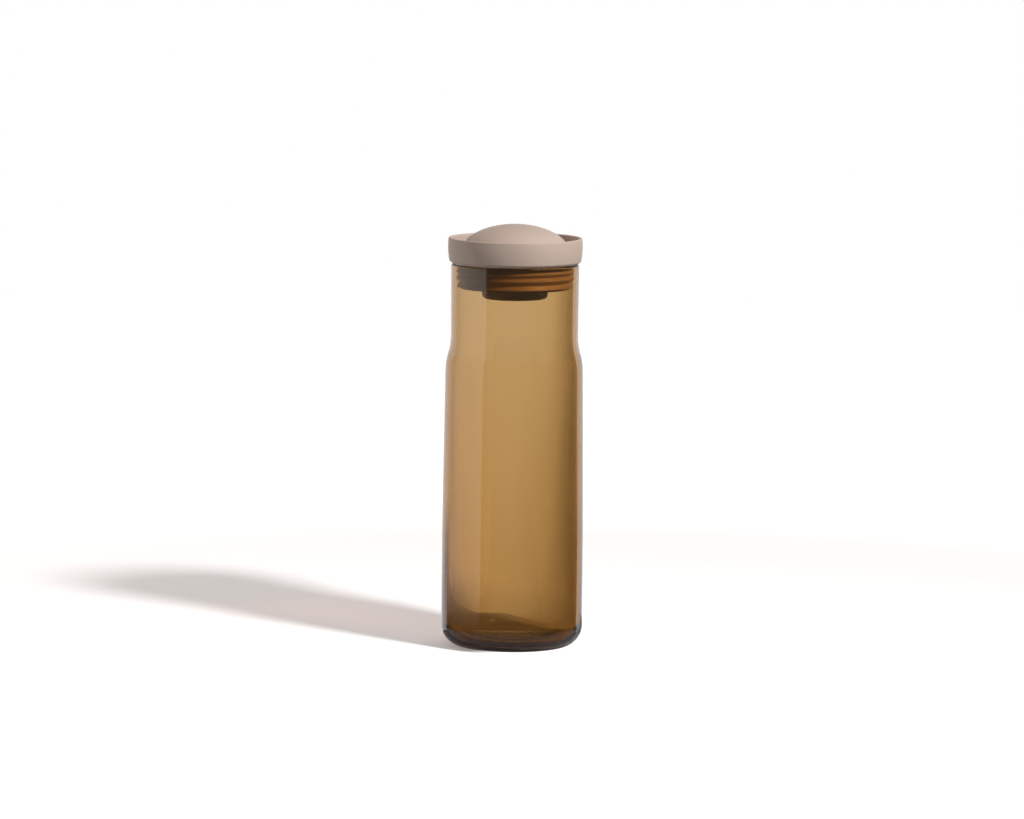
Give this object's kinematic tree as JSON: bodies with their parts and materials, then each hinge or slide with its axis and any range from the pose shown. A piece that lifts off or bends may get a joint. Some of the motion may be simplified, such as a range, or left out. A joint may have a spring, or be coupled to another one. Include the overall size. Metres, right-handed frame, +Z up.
{
  "type": "water carafe",
  "caption": "Amber glass carafe with a shouldered body and a taupe lid: a cup-shaped pouring collar round a weighted dome stopper that lifts when the carafe is tilted.",
  "frame": {"origin": "middle of the foot, on the surface that the carafe stands on", "axes": "+Z up along the axis of the body, -Y towards the camera of the picture, +X to its right"},
  "size_m": [0.085, 0.085, 0.2549],
  "materials": {
    "amber_glass": "clear amber soda-lime glass, fire-polished",
    "taupe_plastic": "warm taupe moulded plastic, fine matte",
    "taupe_silicone": "taupe food-grade silicone, satin",
    "guide_plastic": "off-white low-friction acetal",
    "stainless_steel": "turned stainless steel"
  },
  "bodies": {
    "carafe": {"glass_body": "amber_glass"},
    "lid": {"lid_collar": "taupe_plastic", "plug_sleeve": "taupe_plastic", "lip_gasket": "taupe_silicone", "rim_washer": "taupe_silicone", "guide_spider": "taupe_plastic", "guide_bush": "guide_plastic"},
    "stopper": {"dome_cap": "taupe_plastic", "dome_base": "taupe_plastic", "valve_seal": "taupe_silicone", "stem": "stainless_steel", "bumper_washer": "taupe_silicone", "ballast_cup": "taupe_plastic", "ballast_disc": "stainless_steel", "cup_cover": "taupe_plastic", "cup_screw": "stainless_steel", "screw_seal": "taupe_silicone"}
  },
  "joints": [
    {"name": "lid_lift", "type": "slide", "parent": "carafe", "child": "lid", "axis": [0, 0, 1], "range_m": [0, 0.06]},
    {"name": "stopper_lift", "type": "slide", "parent": "lid", "child": "stopper", "axis": [0, 0, 1], "range_m": [0, 0.006]}
  ]
}
